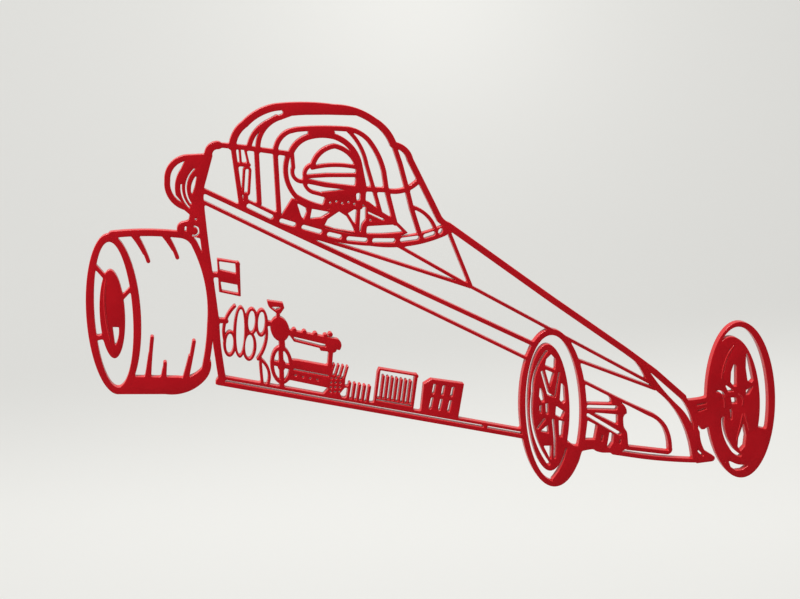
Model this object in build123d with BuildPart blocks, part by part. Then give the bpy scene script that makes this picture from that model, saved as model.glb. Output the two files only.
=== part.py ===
from build123d import *
import os

# Cut-out drag racing car wall sign: flat plates bonded edge to edge, hung by one pad on the back.

# Driving dimensions, in millimetres.
PLATE_THICKNESS = 3.5    # every plate, front face to wall
PAD_U = 193.0            # bonding pad: across from the rear tyre's left edge
PAD_V = 55.0             # bonding pad: up from the near front tyre's foot
MAIN_BAR = 3.7           # top rail and roof hoop
POST_BAR = 4.0           # rear post of the body
SCREEN_BAR = 3.3         # screen frame
ROLL_BAR = 3.0           # head ring, chute roll and nose strip
LIP_BAR = 2.7            # lip under the nose
HELMET_BAR = 2.5         # crown of the helmet
FRAME_BAR = 2.5          # cockpit cage and panel frames
BELT_BAR = 2.4           # upper belt rail
LIGHT_BAR = 2.0          # short struts and straps
LINE_BAR = 1.8           # lower belt rail, cowl lines and nose creases
FIGURE_BAR = 1.6         # race number and vent bars
LOUVRE_BAR = 1.5         # bars of the framed plate, and the block plate's slits
FINE_BAR = 1.2           # pipes, mirror stays and the far rim's slits
RAIL_LOWER = 2.5         # bottom rail: its lower line
RAIL_UPPER = 1.7         # bottom rail: its upper line
RAIL_END = 2.4           # bottom rail: the webs that close it
UPPER_ARM = 1.2          # front suspension
LOWER_ARM = 1.5
BRACE_SLOT = 1.9         # slanting slot of the front upright
SILL_BAR = 5.9           # slotted cockpit sill, and its slimmer rear end
SILL_TAIL = 5.0
SLOT_HEIGHT = 2.5        # slots along the sill
DRUM_NECK = 3.3          # foot of the blower drum
COVER_NUT = 1.3          # radius of the nuts on the rocker cover
SLIT = 0.9               # narrow slits
CREASE = 0.7             # folds in the chute pack
PIN_HOLE = 0.55          # radius of the small round holes
OPENING_EASE = 0.35      # rounding of the cut-outs, added all round
TREAD_BAND = 3.4         # tread outline of the rear tyre
REAR_SHOULDER = 4.1      # sidewall ring of the rear tyre
NEAR_TREAD = 3.6         # ring of the near front tyre
SCRAP = 0.6              # coping offcuts smaller than this, in square millimetres, are thrown away

os.makedirs("parts", exist_ok=True)

# u runs to the right and v up on the sign; the plates grow from the wall to the front (-Y).
SIGN = Plane(origin=(-PAD_U, 0, -PAD_V), x_dir=(1, 0, 0), z_dir=(0, -1, 0))

laid = []


def run_along(start, runs):
    """Draws straight runs (u, v) and arcs (u, v through which, u, v at which it ends)."""
    for run in runs:
        if len(run) == 2:
            Line(start, run)
        else:
            ThreePointArc(start, run[:2], run[2:])
        start = run[-2:]


def bar(width, start, *runs, mode=Mode.ADD):
    """A round-ended bar along a path of runs."""
    with BuildLine() as path:
        run_along(start, runs)
    SlotArc(path.wires()[0], width, mode=mode)


def slit(width, start, *runs):
    """A round-ended slit along a path of runs."""
    bar(width, start, *runs, mode=Mode.SUBTRACT)


def sheet(start, *runs):
    """A flat sheet inside a closed path of runs."""
    with BuildLine() as path:
        run_along(start, runs)
        if runs[-1][-2:] != start:
            Line(runs[-1][-2:], start)
    make_face(path.edges())


def opening(start, *runs):
    """A cut-out with its corners rounded."""
    with BuildSketch() as hole:
        sheet(start, *runs)
    offset(hole.sketch, amount=OPENING_EASE, mode=Mode.SUBTRACT)


def pin_holes(*centres):
    """Small round holes."""
    with Locations(*centres):
        Circle(PIN_HOLE, mode=Mode.SUBTRACT)


def oval(centre, radii, lean, mode=Mode.ADD):
    """A filled ellipse, leaning to the left by that many degrees."""
    with Locations(centre):
        Ellipse(radii[0], radii[1], rotation=lean, mode=mode)


def oval_ring(centre, radii, lean, width):
    """An elliptical ring with those outer radii."""
    oval(centre, radii, lean)
    oval(centre, (radii[0] - width, radii[1] - width), lean, mode=Mode.SUBTRACT)


def placed(outline, centre):
    """An outline that was drawn about its own centre, set down on the sign."""
    with BuildSketch() as there:
        with Locations(centre):
            add(outline.sketch)
    return there


def within_reach(one, other):
    """Whether two flat outlines' boxes meet."""
    a, b = one.bounding_box(), other.bounding_box()
    return a.min.X < b.max.X and b.min.X < a.max.X and a.min.Y < b.max.Y and b.min.Y < a.max.Y


def cover(outline):
    """Keeps the pieces that follow out of a whole outline."""
    laid.append(outline.sketch)


def lay(label, outline):
    """Cuts the plate, coped round the pieces that lie there already."""
    with BuildSketch() as coped:
        add(outline.sketch)
        for neighbour in laid:
            if within_reach(outline.sketch, neighbour):
                add(neighbour, mode=Mode.SUBTRACT)
    with BuildPart() as plate:
        with BuildSketch(SIGN):
            add([face for face in coped.sketch.faces() if face.area > SCRAP])
        extrude(amount=PLATE_THICKNESS)
    plate.part.label = label
    export_step(plate.part, f"parts/{label}.step")
    laid.append(outline.sketch)


# Near front wheel, drawn about its own centre.
NEAR_CENTRE = (260.5, 49.1)
NEAR_RADII = (20.3, 49)
NEAR_LEAN = 10.4
# Slits of the near rim: width, start, runs.
NEAR_SLITS = [
    (1.5, (-9.1, 35.1), [(-14.1, 22.6, -14.1, 10.1), (-10.2, -13.4, 1.9, -34)]),
    (1.2, (-10.1, 22.8), [(-4.5, 9.4), (-1.8, 8.3)]),
    (1.1, (0.3, 22.2), [(-0.2, 8)]),
    (1.5, (-4.9, -6.2), [(-8, -11.3)]),
    (1.2, (0.6, -6.4), [(3.3, -17.7), (4.9, -29.9)]),
    (1.4, (-4.5, 3.2), [(-3.5, -2.3)]),
    (1.2, (-8.1, 2), [(-7.6, -1.7)]),
]
with BuildSketch() as near_rim:
    oval((-2.8, 0.6), (12.5, 39.3), 9.8)
    for width, start, runs in NEAR_SLITS:
        slit(width, start, *runs)
    opening((-5.9, 32.9), (-3.3, 30.4), (-2.7, 24.7), (-8.4, 26.9), (-8.1, 30.4))
    opening((-7.8, 23.7), (-3, 21.8), (-4, 14.6))
    opening((2.8, 15.7), (4.4, 13.8), (6.2, 5), (5.2, 4.2), (3.4, 6.2))
    opening((-9.7, 12.7), (-8.2, 10), (-6.6, 5), (-7.6, 4.9), (-9.5, 8.2))
    opening((1.7, 1.6), (6.8, -1.6), (5.8, -5.1), (2, -3.2))
    opening((4.6, -7), (7.1, -7.6), (7.4, -16.5), (6.2, -16.5))
    opening((-5.6, -13.3), (-2.4, -10.1), (-1.4, -14.3))
    opening((-2.4, -22.8), (1.4, -22.8), (2.4, -30.4))
lay("near_rim", placed(near_rim, NEAR_CENTRE))

# The tyre's ring, thickened at the tread's foot.
with BuildSketch() as near_tyre:
    oval_ring((0, 0), NEAR_RADII, NEAR_LEAN, NEAR_TREAD)
    sheet((9.3, -20.8), (12.7, -20.2), (15.3, -22.2), (20.3, -23), (15.3, -41.4, 7.3, -46.4), (5.1, -43.9),
          (9.1, -36.4, 11.6, -24.4), (9.3, -23.4))
lay("near_tyre", placed(near_tyre, NEAR_CENTRE))
with BuildSketch() as near_disc:
    oval(NEAR_CENTRE, NEAR_RADII, NEAR_LEAN)
cover(near_disc)

# Far front wheel, drawn about its own centre: its rim leaves a crescent open at the ring's right.
FAR_CENTRE = (379.2, 55.3)
FAR_RADII = (22.4, 50.8)
FAR_LEAN = 13.4
with BuildSketch() as far_tyre:
    oval((0, 0), FAR_RADII, FAR_LEAN)
    oval((-0.9, -0.2), (18.7, 47.8), FAR_LEAN, mode=Mode.SUBTRACT)
lay("far_tyre", placed(far_tyre, FAR_CENTRE))

# Slits of the far rim: start, a point it bends through, end.
FAR_SLITS = [
    ((-5.8, -5.6), (-4.9, -8.3), (-4.4, -11.2)),
    ((-16.8, 6.1), (-13.4, 5.3), (-12, 2.1)),
    ((-12.8, 32.7), (-14.8, 26.2), (-15.4, 18.7)),
]
with BuildSketch() as far_rim:
    oval((-5.2, -0.6), (17.5, 42), 14)
    sheet((9.8, -15.3), (24.8, -18.7), (24.8, -53.3), (-3.2, -53.3), (-3.2, -25.3))
    opening((-0.3, -39.1), (1.5, -42.4), (5.3, -44.6), (9.1, -44.1), (12, -41.8), (9.6, -41.6), (5.2, -41.3))
    slit(LINE_BAR, (-10, -10.8), (-7, -21, -1.6, -29.2), (1.4, -32.4, 6, -35))
    opening((-9, 22.8), (-7.6, 22), (-5.3, 10), (-6.3, 9.7), (-8.9, 12.4), (-9.7, 18.6))
    opening((-2, 29.8), (0.1, 26.2), (2.6, 20), (5.2, 13.7), (4.2, 12.5), (2, 13.7), (-0.6, 21.4))
    opening((-11.6, 9.6), (-6.7, 6.6), (-9.3, 6.2))
    opening((5.5, 9.2), (4.2, 5.1), (2.6, 4.6), (2.4, 7.1))
    opening((-6.7, 2.1), (-3.8, 1.9), (-2.9, -1), (-5.4, -1.3))
    opening((4.4, -15), (7.3, -22.3), (7.7, -28.7), (5.6, -31.5), (3.6, -28.7), (3, -23.5), (3.9, -18.3))
    for start, bend, end in FAR_SLITS:
        slit(FINE_BAR, start, (*bend, *end))
    oval((0, 0), FAR_RADII, FAR_LEAN, mode=Mode.INTERSECT)
lay("far_rim", placed(far_rim, FAR_CENTRE))
with BuildSketch() as far_disc:
    oval(FAR_CENTRE, FAR_RADII, FAR_LEAN)
cover(far_disc)

# Rear wheel, drawn about its own centre: rim, and the sidewall ring with three struts.
REAR_CENTRE = (14.1, 98.4)
REAR_RADII = (13.6, 42.9)
REAR_LEAN = 5
with BuildSketch() as rear_rim:
    oval((-0.7, 0.6), (6.3, 23.6), 4.4)
    opening((0, -6.4), (2.3, -6.4), (2.4, -9.4, 1.3, -15.1))
lay("rear_rim", placed(rear_rim, REAR_CENTRE))

with BuildSketch() as rear_sidewall:
    oval_ring((0, 0), REAR_RADII, REAR_LEAN, REAR_SHOULDER)
    bar(LIGHT_BAR, (-10.5, 26.6), (-3.6, 18.6))
    bar(LIGHT_BAR, (8.5, 15), (2.4, 7.6))
    bar(FRAME_BAR, (-9.5, -12.6), (-3.6, -11.1))
lay("rear_sidewall", placed(rear_sidewall, REAR_CENTRE))
with BuildSketch() as rear_disc:
    oval(REAR_CENTRE, REAR_RADII, REAR_LEAN)
cover(rear_disc)

# Marks across the tread: foot and tip of each stroke, with a point it bends through.
TREAD_MARKS = [
    ((23.4, 142), (28, 133.5), (30.4, 127.8)),
    ((21.4, 142), (25.6, 136.5), (28.3, 132)),
    ((38.4, 142.6), (42.5, 135.5), (44.8, 130.3)),
    ((36.6, 142.6), (40, 138.4), (42.6, 134.6)),
    ((33, 62), (33.2, 77), (33.7, 87)),
    ((31.2, 62), (32.3, 71), (33, 78)),
    ((40.9, 62), (40.8, 68), (40.8, 73.2)),
    ((39.4, 62), (40, 66.5), (40.5, 70)),
    ((52, 62), (53.9, 75), (55.2, 85.3)),
    ((50.4, 62), (52.2, 70), (53.6, 77)),
]
with BuildSketch() as rear_tread:
    bar(TREAD_BAND, (12, 140.8), (30, 142.6, 46, 142.3), (50.6, 140.6, 53.6, 136.8), (60.5, 119, 63.2, 95),
        (63, 84, 61.6, 71))
    sheet((17, 55.8), (41, 56.1), (55, 58.4, 62, 64.4), (64.1, 68.4, 64.5, 75), (61.4, 74),
          (57, 67.8, 48, 65.6), (17, 65.6))
    for foot, bend, tip in TREAD_MARKS:
        bar(LIGHT_BAR, foot, (*bend, *tip))
lay("rear_tread", rear_tread)

# Rear post of the body, from the bottom rail up to the corner of the deck.
POST_FOOT = (70.7, 65.5)
POST_KNEE = (55, 159)
POST_BEND = (54.6, 166, 55.6, 172)
POST_HEAD = (58, 183.5)
with BuildSketch() as rear_post:
    bar(POST_BAR, POST_FOOT, (67, 84.5), (65.6, 98), (62.4, 115.5, 59.7, 130), (56.8, 147, *POST_KNEE),
        POST_BEND, POST_HEAD, (59.3, 187.7, 62.5, 189))
    sheet((69.5, 67), (67.5, 63.8), (67.5, 61.9), (71, 61.6), (72.6, 67))
lay("rear_post", rear_post)

# Chute pack on the back of the post: an outer roll, the folded pack in it, and its bracket.
with BuildSketch() as chute_pack:
    bar(ROLL_BAR, (57.5, 182.9), (48.7, 181.9), (40.6, 177.8, 38.3, 169.7), (40.5, 161.6, 47.8, 156.6),
        (53, 152.6))
    sheet((46.5, 180.5), (44.6, 175.8), (42.2, 169, 42.7, 162.6), (49.2, 155.4), (53, 152.6), (56, 153.4),
          POST_KNEE, POST_BEND, POST_HEAD)
    slit(CREASE, (45.2, 168), (46.6, 161, 49.7, 156.6))
    slit(CREASE, (51.2, 176.2), (47.6, 167.5, 50.4, 158.7))
    opening((52.2, 172.2), (50.7, 168.5, 50.7, 164.2), (51.7, 168))
lay("chute_pack", chute_pack)

with BuildSketch() as chute_bracket:
    sheet((50.4, 155), (49.6, 150), (47.4, 149.1), (45, 148, 44.8, 143), (58, 140.5), (57, 153))
    slit(SLIT, (52.7, 146.9), (54.9, 145.2, 52.1, 142.2))
    slit(SLIT, (48.3, 144.8), (48.3, 146.4))
    pin_holes((53.2, 150.8))
lay("chute_bracket", chute_bracket)

# Long rails of the body. The bottom rail is two lines with a web at the post and one by the front wheel.
with BuildSketch() as top_rail:
    bar(MAIN_BAR, (186.5, 153.6), (250, 115), (300, 85.5), (320, 73), (341, 57.6))
lay("top_rail", top_rail)

RAIL_ENDS = [(69, 62.7), (262, 29.2), (262, 32.8), (70, 65.8)]
POST_EDGE = POST_FOOT[0] + POST_BAR / 2
with BuildSketch() as bottom_rail:
    bar(RAIL_LOWER, RAIL_ENDS[0], RAIL_ENDS[1])
    bar(RAIL_UPPER, RAIL_ENDS[3], RAIL_ENDS[2])
    bar(RAIL_END, (POST_EDGE - 1.8, 62.6), (POST_EDGE - 1, 65.4))
    bar(RAIL_END, (220.6, 36.6), (220.8, 39.6))
lay("bottom_rail", bottom_rail)
with BuildSketch() as rail_band:
    sheet(*RAIL_ENDS)
cover(rail_band)

with BuildSketch() as belt_rail_upper:
    bar(BELT_BAR, (55, 166.2), (262, 80.4))
lay("belt_rail_upper", belt_rail_upper)

with BuildSketch() as belt_rail_lower:
    bar(LINE_BAR, (55, 160.4), (228, 85), (262, 70))
lay("belt_rail_lower", belt_rail_lower)

# Filler door on the flank: a framed panel with two windows, tied to the post.
with BuildSketch() as filler_door:
    sheet((64.8, 130.6), (74.8, 129.3), (76.4, 129, 76.8, 127.4), (78.2, 110.7), (66.8, 112.8))
    opening((66.4, 128.8), (74, 128), (74.6, 123.3), (67, 124.9))
    opening((67.8, 118), (75.7, 116.7), (76.4, 112.6), (68.6, 113.9))
    bar(FRAME_BAR, (60.5, 121.8), (66.5, 121.8))
lay("filler_door", filler_door)

# Blank race number: rings of plain figures, (u, v, radius across, radius up).
FIGURE_RINGS = [
    (73.8, 84.6, 2.7, 6.4),
    (79, 91.2, 2.9, 13.4),
    (84.6, 97.2, 2.6, 6.7),
    (84.2, 83.4, 3.0, 7.3),
    (89.8, 96.6, 2.6, 6.9),
]
with BuildSketch() as race_number:
    for u, v, across, up in FIGURE_RINGS:
        oval((u, v), (across + FIGURE_BAR / 2, up + FIGURE_BAR / 2), 2)
    for u, v, across, up in FIGURE_RINGS:
        oval((u, v), (across - FIGURE_BAR / 2, up - FIGURE_BAR / 2), 2, mode=Mode.SUBTRACT)
    bar(FIGURE_BAR, (71.2, 86), (71, 97.5, 75.3, 105.3))
    bar(FIGURE_BAR, (92.3, 95), (92.4, 84, 89.2, 76.4))
    bar(FRAME_BAR, (64.5, 97.4), (71.3, 97))
    bar(FIGURE_BAR, (90.3, 78), (91.2, 70, 92.6, 61.5))
    bar(FIGURE_BAR, (90.9, 76), (95.2, 70, 95.2, 61.5))
lay("race_number", race_number)

# Engine in the flank: drum with its scoop, pulley, cover, block and pipes.
with BuildSketch() as blower_drum:
    oval((99.8, 93.4), (4.9, 7), 18)
    bar(FRAME_BAR, (93.2, 96.5), (97, 95.5))
    bar(DRUM_NECK, (101, 88.5), (101.8, 82.5))
    bar(LIGHT_BAR, (98.2, 103.5), (98.6, 98))
lay("blower_drum", blower_drum)

with BuildSketch() as blower_scoop:
    sheet((91.9, 109), (100.5, 108), (101.4, 105.2), (99.6, 102.2), (97.2, 102.4), (92.8, 105.6))
    opening((95.2, 105.3), (98.8, 105.3), (97.6, 103.9))
lay("blower_scoop", blower_scoop)

PULLEY_CENTRE = (102, 73.2)
with BuildSketch() as crank_pulley:
    oval_ring(PULLEY_CENTRE, (6, 10.8), 8, LIGHT_BAR)
    bar(FRAME_BAR, (97, 74.5), (107, 72))
    bar(FRAME_BAR, (101, 82), (102.8, 64.5))
    oval(PULLEY_CENTRE, (2.3, 3.2), 8)
    bar(FRAME_BAR, (102.8, 64), (103.2, 60.5))
lay("crank_pulley", crank_pulley)

with BuildSketch() as rocker_cover:
    sheet((104.5, 93.2), (131.5, 88.6), (132.9, 87.4, 132.9, 82.4), (126, 83.4), (124.6, 85.6), (104.5, 90))
    with Locations((107.5, 92.9), (113, 92), (119, 91), (124.6, 90.2), (127.2, 91)):
        Circle(COVER_NUT)
    bar(FINE_BAR, (105.6, 90.4), (108, 87.2), (124, 83.4))
    bar(FRAME_BAR, (123.2, 83), (130, 82.4))
lay("rocker_cover", rocker_cover)

with BuildSketch() as engine_block:
    sheet((106.5, 76.4), (110.5, 76.2), (129.3, 73), (129.3, 68.6), (137.4, 66), (137.4, 61), (135, 57.5),
          (138, 52.6), (126, 54.6), (126, 57), (128.6, 60.6), (106.5, 65))
    bar(FRAME_BAR, (128.2, 82.5), (128.2, 72))
    slit(SLIT, (109, 71), (127.6, 67.6))
    with Locations((132.2, 62.3)):
        with GridLocations(2.5, 2.6, 3, 4):
            Circle(PIN_HOLE, mode=Mode.SUBTRACT)
    pin_holes((110, 67.6), (114, 66.7), (118, 66), (122, 65.3))
lay("engine_block", engine_block)

with BuildSketch() as header_pipes:
    for step in range(4):
        bar(FINE_BAR, (129.3 + 2.5 * step, 68.4 - 0.75 * step), (130.6 + 2.5 * step, 74 - 0.4 * step))
lay("header_pipes", header_pipes)

# Plates along the bottom rail, all left blank: each falls with the rail from one stroke to the next.
with BuildSketch() as vent_bars:
    for step in range(5):
        bar(FIGURE_BAR, (139.4 + 2.8 * step, 51.5 - 0.5 * step), (140.2 + 2.8 * step, 63.4 - 0.5 * step))
    bar(FINE_BAR, (136, 61.6), (140, 61.2))
lay("vent_bars", vent_bars)

with BuildSketch() as framed_plate:
    sheet((155.8, 72.5), (176.5, 69.3), (178, 69, 178, 67), (177.2, 44), (154.4, 48), (154.9, 70))
    opening((156.9, 70.8), (175.9, 67.9), (175.4, 52.2), (156.4, 55.6))
    for step in range(7):
        bar(LOUVRE_BAR, (158.3 + 2.6 * step, 55.5 - 0.45 * step), (158.7 + 2.6 * step, 67.6 - 0.45 * step))
    slit(SLIT, (156, 54), (175.6, 50.6))
lay("framed_plate", framed_plate)

with BuildSketch() as block_plate:
    sheet((181.8, 63.6), (186, 66.6), (205.2, 64.2), (203.8, 40), (181.8, 44))
    for u, v in [(187, 49.5), (192.4, 48.7), (197.8, 47.9)]:
        slit(LOUVRE_BAR, (u, v), (u + 0.6, v + 5.5))
        slit(LOUVRE_BAR, (u + 0.8, v + 9.1), (u + 1.2, v + 13.5))
lay("block_plate", block_plate)

# Cockpit: sill with its row of slots, (u, v) of each slot's two ends.
SILL_SLOTS = [
    ((79.7, 158.9), (91.2, 153.9)),
    ((97, 152), (103.2, 150.4)),
    ((108.7, 149.2), (117.2, 147.2)),
    ((122.4, 146), (127.8, 145)),
    ((132.9, 144.2), (141.8, 143.8)),
    ((146.8, 143.8), (156.8, 144.2)),
    ((161.9, 144.8), (169.8, 146.2)),
    ((174.4, 147.5), (178.4, 149)),
]
with BuildSketch() as canopy_sill:
    bar(SILL_TAIL, (78, 159.9), (97, 152.2), (113, 148.2))
    bar(SILL_BAR, (106, 149.5), (113, 147.9), (129, 144.7, 145, 143.7), (166, 144.6, 184, 150.8))
    sheet((92, 153), (90, 151.6), (111, 143.2), (116, 142.4), (119, 144.5), (118, 146.6), (106, 149.5))
    for start, end in SILL_SLOTS:
        slit(SLOT_HEIGHT, start, end)
    oval((182.3, 150.5), (1.2, 1.6), -20, mode=Mode.SUBTRACT)
lay("canopy_sill", canopy_sill)

with BuildSketch() as roof_hoop:
    bar(MAIN_BAR, (69.7, 188.5), (71.2, 195.5, 75.3, 200.6), (81.5, 206.2, 90, 209.9),
        (105, 211.7, 120, 211.6), (132.5, 210.2, 141, 206.4), (147.3, 202, 152.3, 195))
    bar(FRAME_BAR, (151.6, 197), (157, 185), (161.5, 173), (165.5, 161.5), (170.6, 149.5))
    bar(FRAME_BAR, (69.7, 190), (75.9, 158.5))
    sheet((92, 210.5), (95.3, 205.7), (104, 207), (117, 208), (131, 208.6), (135, 209.4), (120, 211.6),
          (105, 211.7))
lay("roof_hoop", roof_hoop)

with BuildSketch() as screen_frame:
    bar(SCREEN_BAR, (152.5, 194.8), (158.8, 192.4, 162, 187.7), (175, 167), (181.5, 156.5), (187.5, 152.6))
    bar(LIGHT_BAR, (165, 162.8), (173, 159.4, 179.2, 152))
lay("screen_frame", screen_frame)

with BuildSketch() as rear_hoop:
    bar(FRAME_BAR, (82.6, 188), (84.2, 197.4, 92.3, 204.8), (98, 207.4))
    bar(FRAME_BAR, (78, 188.8), (80.6, 196.4, 85.5, 201.4), (91, 205))
    bar(FRAME_BAR, (82.6, 188.5), (82, 186), (84.9, 160.4))
lay("rear_hoop", rear_hoop)

with BuildSketch() as centre_hoop:
    bar(FRAME_BAR, (91.5, 187), (92.9, 193.6, 97.5, 198.2), (101.5, 199.5), (115, 201, 128, 201.4),
        (134.5, 199.6, 139.2, 196.3), (144.6, 189.2, 148.6, 180.5), (150.8, 171.5), (157.2, 153.5))
    bar(FRAME_BAR, (91.3, 188), (95.4, 155))
lay("centre_hoop", centre_hoop)

with BuildSketch() as front_hoop:
    bar(LIGHT_BAR, (127, 201.4), (134.6, 193.5, 139, 184), (143.5, 172.5), (149, 158.2))
lay("front_hoop", front_hoop)

# Driver's head: ring, helmet, visor, restraint and collar.
with BuildSketch() as head_ring:
    bar(ROLL_BAR, (99.2, 186.6), (102.6, 192.8, 108.5, 196.4), (115, 197.6, 121, 197.2),
        (130.8, 191.4, 135.6, 182.3), (138.3, 173), (138.7, 164))
    bar(FRAME_BAR, (108.5, 198.4), (120, 199))
lay("head_ring", head_ring)

with BuildSketch() as helmet_shell:
    bar(HELMET_BAR, (111, 181.6), (114.2, 188.2, 121.6, 192.3), (128.4, 189.7, 135.2, 180))
    bar(LIGHT_BAR, (110.8, 182), (107.6, 179.2, 107.4, 175.4), (108.6, 170.1, 112.5, 167.7), (119.2, 166.3))
lay("helmet_shell", helmet_shell)

with BuildSketch() as helmet_visor:
    bar(LIGHT_BAR, (110.8, 180.4), (122, 182.5, 135, 181.8))
    bar(LIGHT_BAR, (107.5, 175.6), (118, 177), (136, 178))
    bar(FRAME_BAR, (107.8, 173.6), (118, 172), (138, 170.8))
    bar(FRAME_BAR, (117.5, 167), (138, 170.3))
    sheet((133.6, 182.5), (136, 182), (138.3, 171), (134.2, 170))
lay("helmet_visor", helmet_visor)

with BuildSketch() as head_restraint:
    bar(LIGHT_BAR, (100, 187), (101.1, 180), (102, 174.8, 108, 173.4))
    bar(FRAME_BAR, (98.4, 187), (98.1, 174, 103.4, 165.2), (110.5, 162, 119, 160))
lay("head_restraint", head_restraint)

with BuildSketch() as neck_collar:
    sheet((117.6, 160), (119, 166.8), (134.6, 169), (135.4, 164.6), (138.6, 165), (138.6, 160.5), (128, 159))
    pin_holes((121.5, 162.8), (124.7, 163.6), (127.9, 162.8), (131.1, 163.6), (134.3, 162.8))
lay("neck_collar", neck_collar)

with BuildSketch() as harness:
    sheet((96.5, 154.5), (101.5, 164), (120, 159.5), (138.5, 161.5), (142, 163), (142, 146), (119, 149.5))
    opening((104.9, 161), (108.7, 159.2), (109.2, 157), (108.2, 154), (107.2, 155.2))
    opening((112.5, 158.7), (121, 157.6), (117.4, 155), (112, 154.2))
    opening((126.5, 158), (121.2, 153.9), (119.9, 151), (125, 149.5), (135.2, 148.3), (133.8, 151),
            (130.4, 155.8))
    opening((131.8, 157.7), (135.5, 160.4), (135.5, 152.8))
    opening((138.1, 160.7), (140.2, 161.3), (140.7, 154.7), (138.8, 152.2), (138.6, 148.6))
lay("harness", harness)

with BuildSketch() as dash_panel:
    sheet((139.5, 164.8), (142, 164.4), (149, 159.6), (157, 155.4), (164.6, 148.8), (160, 146.5),
          (141.8, 145.6), (141.8, 162.2), (139.6, 162.2))
    slit(SLIT, (141.5, 158.8), (150.6, 155.2))
    pin_holes((143.6, 154.6))
    opening((141.5, 150.9), (155.9, 152.4), (157.4, 152.2), (161, 149.2), (151.3, 147.9), (141.5, 147.6))
lay("dash_panel", dash_panel)

# Cross bars of the cage, and the mirror on its bracket.
with BuildSketch() as deck_bar:
    bar(FRAME_BAR, (61.5, 189.2), (75, 188.7), (99.5, 186.8))
lay("deck_bar", deck_bar)

with BuildSketch() as belt_bar:
    bar(FRAME_BAR, (137, 170.9), (150, 171), (161, 171.8, 168.2, 177.6))
lay("belt_bar", belt_bar)

MIRROR_CENTRE = (77.7, 171.6)
with BuildSketch() as mirror_bracket:
    bar(LIGHT_BAR, (71.8, 180), (78.4, 180))
    bar(FINE_BAR, (75.8, 188.6), (78.4, 180))
    bar(FINE_BAR, (73.2, 188.8), (74.4, 180))
    with Locations(MIRROR_CENTRE):
        SlotOverall(15.6, 4.4, rotation=90)
        SlotOverall(12.6, 1.7, rotation=90, mode=Mode.SUBTRACT)
    bar(FRAME_BAR, (77.7, 164.6), (78, 160))
lay("mirror_bracket", mirror_bracket)

# Cowl lines and creases of the long nose.
with BuildSketch() as cowl_lines:
    bar(LINE_BAR, (112, 144.8), (140, 137.5), (202, 120.4))
    bar(LINE_BAR, (158, 142.4), (202, 120.6))
    bar(LIGHT_BAR, (187, 150.5), (202.6, 121))
lay("cowl_lines", cowl_lines)

with BuildSketch() as nose_creases:
    bar(LINE_BAR, (202.2, 120.6), (319.5, 65.6))
    bar(LINE_BAR, (262, 82.2), (322, 62.4))
lay("nose_creases", nose_creases)

# Nose: ridge, outer strip with the tip, lip, and the framed side panel.
with BuildSketch() as nose_ridge:
    sheet((305, 81), (316.5, 73.6), (326.6, 62.8, 339, 52), (347.4, 43.4, 352.4, 34.6), (355.4, 27.5),
          (357.5, 18), (353.6, 18.5), (348.9, 31.3, 342.6, 42.3), (334.9, 51.6, 323.9, 60.6), (316.8, 66.6),
          (311, 74.6))
lay("nose_ridge", nose_ridge)

with BuildSketch() as nose_strip:
    bar(ROLL_BAR, (340.5, 57.8), (347.6, 49.2, 352.4, 38.5), (354, 33))
    sheet((350.2, 40.4), (353.4, 38.8), (355.6, 35.6), (358.2, 28, 361, 23.6), (368, 19.8),
          (368.6, 18, 366.6, 16.4), (357, 15.2), (355.6, 18.2), (353.8, 30))
    slit(SLIT, (356.7, 23.3), (360.2, 20.4))
lay("nose_strip", nose_strip)

with BuildSketch() as nose_panel:
    bar(LINE_BAR, (266, 71.1), (300, 55.7), (321, 46.7))
    sheet((300, 56.5), (300, 54.9), (320.6, 45.5), (321.6, 47.8))
    bar(FRAME_BAR, (321, 46.7), (328, 43, 333, 37.8), (336.4, 31, 338, 25), (338, 23, 336.5, 22.3),
        (310.4, 25.2))
lay("nose_panel", nose_panel)

with BuildSketch() as nose_lip:
    bar(LIP_BAR, (302, 22.3), (320, 19.7), (338, 17.9, 357, 17))
lay("nose_lip", nose_lip)

# Front suspension beside the near wheel, and the axle to the far one.
with BuildSketch() as suspension_arms:
    bar(UPPER_ARM, (270, 52.9), (303, 52.4))
    bar(LOWER_ARM, (270, 48.9), (305, 48.2))
    sheet((300, 54), (304, 52.3), (306, 49.8), (306.6, 47), (304.5, 46.4), (300, 49))
    sheet((284, 63), (303, 54.6), (301, 52.6), (296.2, 53), (294.8, 56.6), (290.5, 59.4))
lay("suspension_arms", suspension_arms)

with BuildSketch() as suspension_upright:
    sheet((272, 49), (306, 48), (304.6, 44.6), (305.8, 38.6), (308.6, 35.5), (309.5, 31.7), (311, 25.5),
          (303.3, 21), (299.5, 22.2), (294.4, 22.2), (290.6, 23.2), (288.7, 24.5), (285.5, 24.1), (272, 21))
    opening((286.7, 47), (300.5, 46), (301.4, 40.4))
    slit(BRACE_SLOT, (282, 46), (304, 34.2))
    opening((282.9, 41.9), (288.7, 39.1), (288.5, 30.9), (283.2, 30.9))
    opening((297.7, 34.8), (299.9, 33.4), (300.2, 28.6), (298.8, 26), (297.5, 26.4))
    slit(SLIT, (293.3, 30), (293.3, 33))
    slit(SLIT, (305, 28.3), (305, 30.3))
lay("suspension_upright", suspension_upright)

with BuildSketch() as far_axle:
    sheet((343.5, 55.6), (352, 56.6), (360, 58.8), (366, 45), (363.9, 42), (358.2, 37.2), (356.3, 37.2),
          (350, 44))
    slit(SLIT, (351, 52.7), (361.1, 55.2))
    slit(SLIT, (352.4, 48.9), (358.7, 51.3))
lay("far_axle", far_axle)
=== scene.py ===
import math
import bmesh
import bpy
import numpy as np
from mathutils import Matrix, Vector
from mathutils.geometry import delaunay_2d_cdt


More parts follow.
